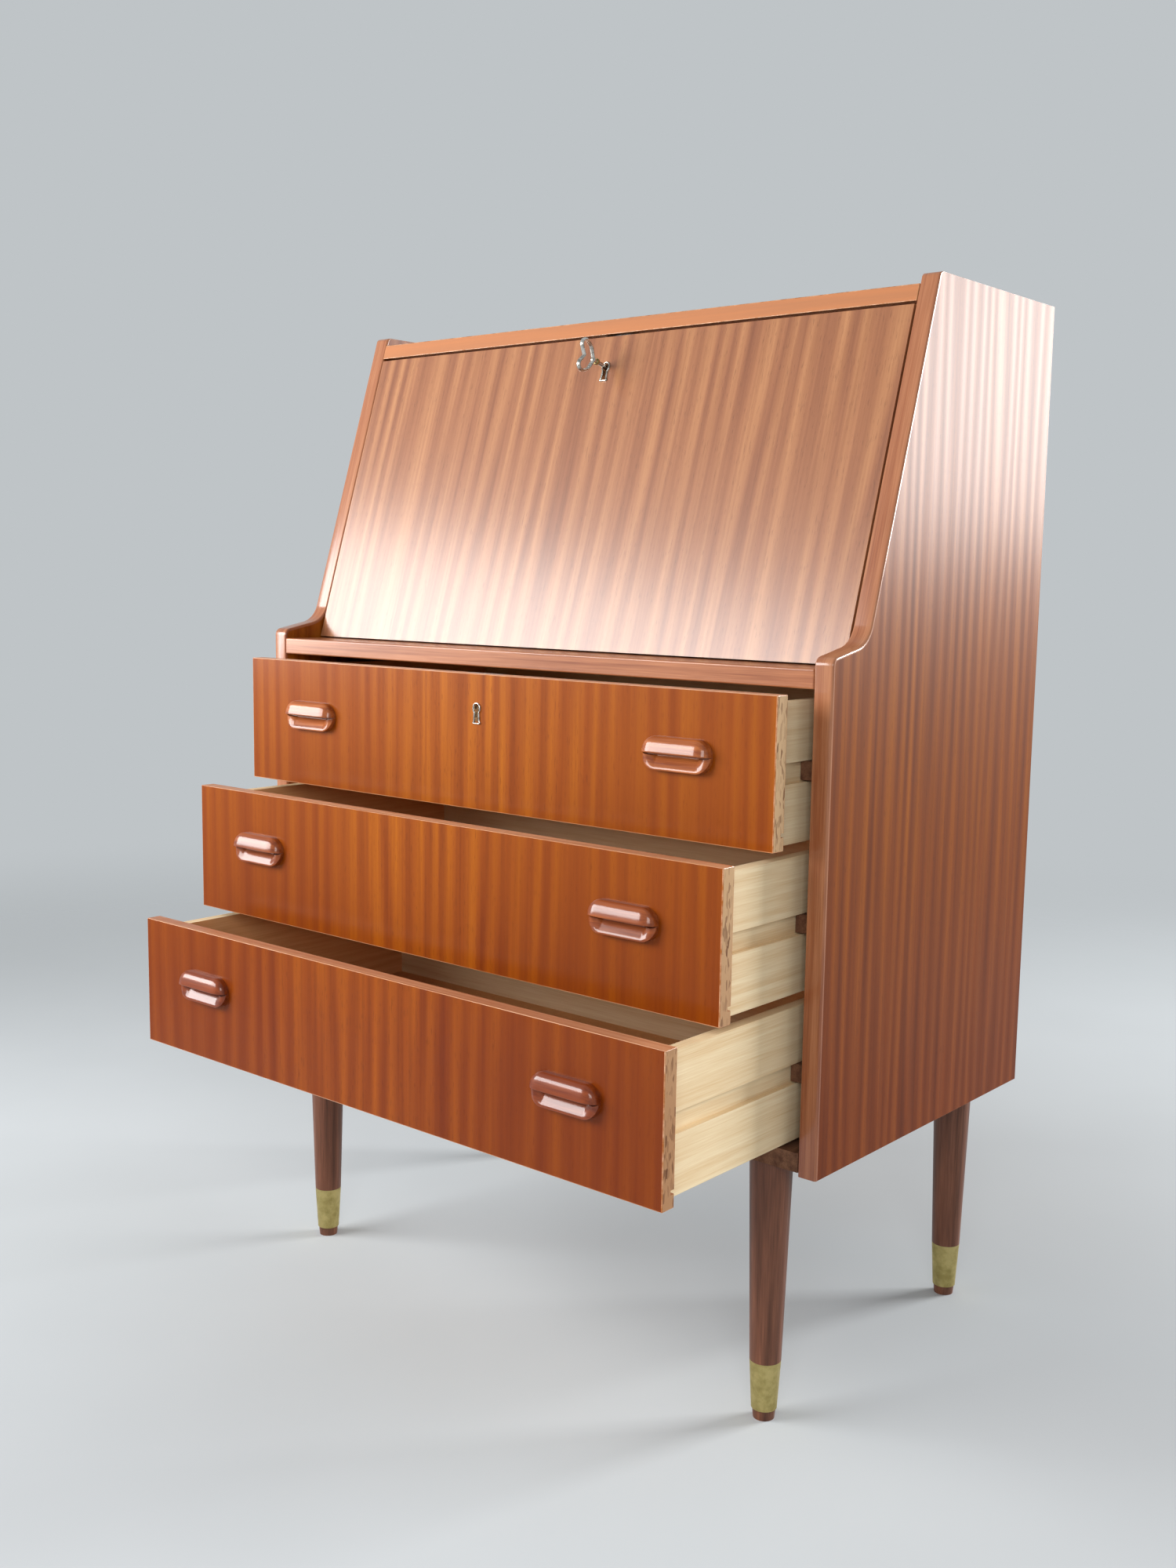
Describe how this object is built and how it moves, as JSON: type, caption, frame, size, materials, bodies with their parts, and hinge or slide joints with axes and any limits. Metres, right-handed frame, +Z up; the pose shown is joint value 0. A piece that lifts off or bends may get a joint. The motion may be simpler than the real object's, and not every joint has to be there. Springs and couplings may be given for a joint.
{
  "type": "escritoire",
  "caption": "Fall-front writing desk in striped mahogany veneer: a sloping hinged flap with lock and key above shallow drawers with carved lip pulls, on tapered legs with brass feet.",
  "frame": {"origin": "on the floor under the middle of the object as it stands, drawers drawn out as in the picture", "axes": "+X to the right of someone facing the desk, -Y out of its front, +Z up"},
  "size_m": [0.75, 0.608, 1.064],
  "materials": {
    "side_veneer": "ribbon-striped mahogany veneer, satin lacquer",
    "lipping_mahogany": "solid mahogany lipping, satin lacquer",
    "rail_mahogany": "mahogany with the grain along the rail, satin lacquer",
    "top_veneer": "mahogany veneer, satin lacquer",
    "bed_veneer": "mahogany veneer, satin lacquer",
    "interior_mahogany": "mahogany, thin satin lacquer",
    "base_board": "stained board, matt",
    "back_hardboard": "hardboard, matt",
    "flap_veneer": "ribbon-striped mahogany veneer, satin lacquer",
    "leg_beech_stained": "turned wood stained dark, satin lacquer",
    "handle_mahogany": "carved mahogany, gloss lacquer",
    "drawer_front_veneer": "ribbon-striped mahogany veneer, satin lacquer",
    "drawer_beech": "pale planed wood, unlacquered",
    "drawer_hardboard": "smooth hardboard",
    "ferrule_brass": "aged brass",
    "pin_brass": "turned brass",
    "lock_steel": "pressed steel",
    "key_steel": "polished steel",
    "escutcheon_nickel": "nickel plate"
  },
  "bodies": {
    "carcass": {"side_panel_left": "side_veneer", "side_lipping_left": "lipping_mahogany", "side_panel_right": "side_veneer", "side_lipping_right": "lipping_mahogany", "top_board": "top_veneer", "bottom_board": "base_board", "front_rail": "rail_mahogany", "desk_bed": "bed_veneer", "back_panel": "back_hardboard", "flap_stop": "interior_mahogany", "pigeonhole_shelf": "interior_mahogany", "pigeonhole_dividers": "interior_mahogany", "bottom_drawer_runners": "drawer_beech", "middle_drawer_runners": "drawer_beech", "top_drawer_runners": "drawer_beech", "front_left_leg": "leg_beech_stained", "front_right_leg": "leg_beech_stained", "back_left_leg": "leg_beech_stained", "back_right_leg": "leg_beech_stained", "leg_ferrules": "ferrule_brass", "flap_strike_plate": "lock_steel", "drawer_strike_plate": "lock_steel"},
    "flap": {"flap_panel": "flap_veneer", "flap_pivot_pins": "pin_brass", "flap_lock_case": "lock_steel", "flap_escutcheon": "escutcheon_nickel"},
    "flap_bolt": {"flap_lock_bolt": "lock_steel"},
    "flap_key": {"flap_key": "key_steel"},
    "bottom_drawer": {"bottom_drawer_front": "drawer_front_veneer", "bottom_drawer_side_left": "drawer_beech", "bottom_drawer_side_right": "drawer_beech", "bottom_drawer_back": "drawer_beech", "bottom_drawer_bottom": "drawer_hardboard", "bottom_drawer_handle_left": "handle_mahogany", "bottom_drawer_handle_right": "handle_mahogany"},
    "middle_drawer": {"middle_drawer_front": "drawer_front_veneer", "middle_drawer_side_left": "drawer_beech", "middle_drawer_side_right": "drawer_beech", "middle_drawer_back": "drawer_beech", "middle_drawer_bottom": "drawer_hardboard", "middle_drawer_handle_left": "handle_mahogany", "middle_drawer_handle_right": "handle_mahogany"},
    "top_drawer": {"top_drawer_front": "drawer_front_veneer", "top_drawer_side_left": "drawer_beech", "top_drawer_side_right": "drawer_beech", "top_drawer_back": "drawer_beech", "top_drawer_bottom": "drawer_hardboard", "top_drawer_handle_left": "handle_mahogany", "top_drawer_handle_right": "handle_mahogany", "top_drawer_lock_case": "lock_steel", "top_drawer_escutcheon": "escutcheon_nickel"},
    "top_drawer_bolt": {"top_drawer_lock_bolt": "lock_steel"}
  },
  "joints": [
    {"name": "bottom_drawer_slide", "type": "slide", "parent": "carcass", "child": "bottom_drawer", "axis": [0, -1, 0], "range_m": [-0.195, 0.085]},
    {"name": "middle_drawer_slide", "type": "slide", "parent": "carcass", "child": "middle_drawer", "axis": [0, -1, 0], "range_m": [-0.122, 0.158]},
    {"name": "top_drawer_slide", "type": "slide", "parent": "carcass", "child": "top_drawer", "axis": [0, -1, 0], "range_m": [-0.05, 0.23]},
    {"name": "flap_hinge", "type": "hinge", "parent": "carcass", "child": "flap", "pos_m": [0, -0.03469, 0.7185], "axis": [1, 0, 0], "range_deg": [0, 107.05]},
    {"name": "flap_key_turn", "type": "hinge", "parent": "flap", "child": "flap_key", "pos_m": [0, 0.04435, 1.00348], "axis": [0, -0.956, 0.2932], "range_deg": [0, 180]},
    {"name": "flap_bolt_slide", "type": "slide", "parent": "flap", "child": "flap_bolt", "axis": [0, 0.2932, 0.956], "range_m": [0, 0.011]},
    {"name": "top_drawer_bolt_slide", "type": "slide", "parent": "top_drawer", "child": "top_drawer_bolt", "axis": [0, 0, 1], "range_m": [0, 0.011]}
  ],
  "couplings": [
    {"joint": "flap_bolt_slide", "follows": "flap_key_turn", "m_per_rad": 0.0035}
  ]
}
